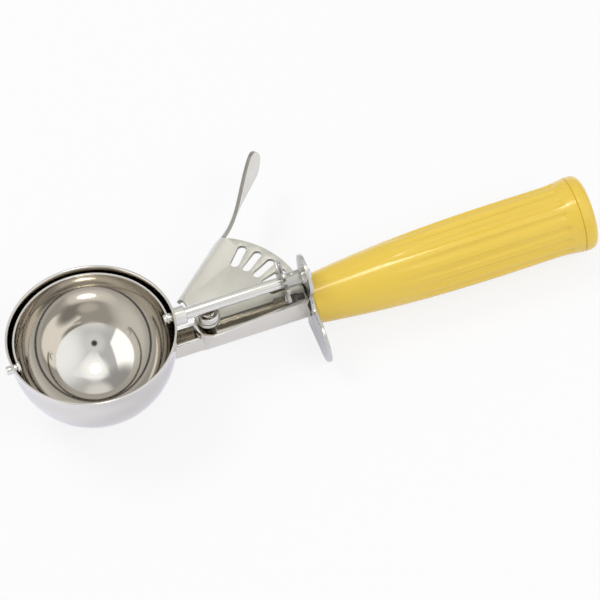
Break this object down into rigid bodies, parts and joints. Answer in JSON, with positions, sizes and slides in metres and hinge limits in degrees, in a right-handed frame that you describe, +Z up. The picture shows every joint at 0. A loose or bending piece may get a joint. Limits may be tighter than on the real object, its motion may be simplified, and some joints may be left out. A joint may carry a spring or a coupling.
{
  "type": "lever ice cream scoop",
  "caption": "Hand scoop with a half-ball bowl; a thumb lever's slotted fan turns a toothed shaft and sweeps a scraper band round inside the bowl.",
  "frame": {"origin": "middle of the bowl's half ball, where the scraper shaft's axis crosses the bowl's own axis", "axes": "+X along the shaft from the bowl to the handle, +Z up out of the bowl's mouth, +Y towards the thumb lever at rest"},
  "size_m": [0.1992, 0.0893, 0.0341],
  "materials": {
    "polished_steel": "mirror polished stainless steel",
    "satin_steel": "tumbled stainless sheet with a soft sheen",
    "bright_steel": "bright drawn stainless bar",
    "spring_steel": "dull spring wire",
    "zinc_steel": "zinc plated, hidden inside the handle",
    "brass": "turned bearing brass",
    "yellow_plastic": "glossy moulded yellow"
  },
  "bodies": {
    "root": {"bowl": "polished_steel", "shaft_collar": "bright_steel", "shank_channel": "satin_steel", "guard_plate": "satin_steel", "rear_bush": "bright_steel", "lever_post": "bright_steel", "pivot_washer": "bright_steel", "post_sleeve": "bright_steel", "lever_spring": "spring_steel", "handle_grip": "yellow_plastic", "handle_end_cap": "yellow_plastic", "tang_bolt": "zinc_steel", "tang_washer": "zinc_steel", "tang_nut": "zinc_steel"},
    "lever": {"thumb_lever": "satin_steel", "pivot_bush": "brass"},
    "blade": {"blade_shaft": "bright_steel", "scraper_blade": "polished_steel", "front_pivot_pin": "bright_steel", "pinion": "satin_steel", "pinion_pin": "bright_steel", "shaft_clip": "spring_steel"}
  },
  "joints": [
    {"name": "lever_press", "type": "hinge", "parent": "root", "child": "lever", "pos_m": [0.039, 0, 0], "axis": [0, 0, -1], "range_deg": [0, 42.5], "stiffness_Nm_per_rad": 0.12, "springref_deg": -40.11, "deforming": ["lever_spring"]},
    {"name": "blade_sweep", "type": "hinge", "parent": "root", "child": "blade", "pos_m": [0, 0, 0], "axis": [-1, 0, 0], "range_deg": [0, 175]}
  ],
  "couplings": [
    {"joint": "blade_sweep", "follows": "lever_press", "ratio": 4.1171}
  ]
}
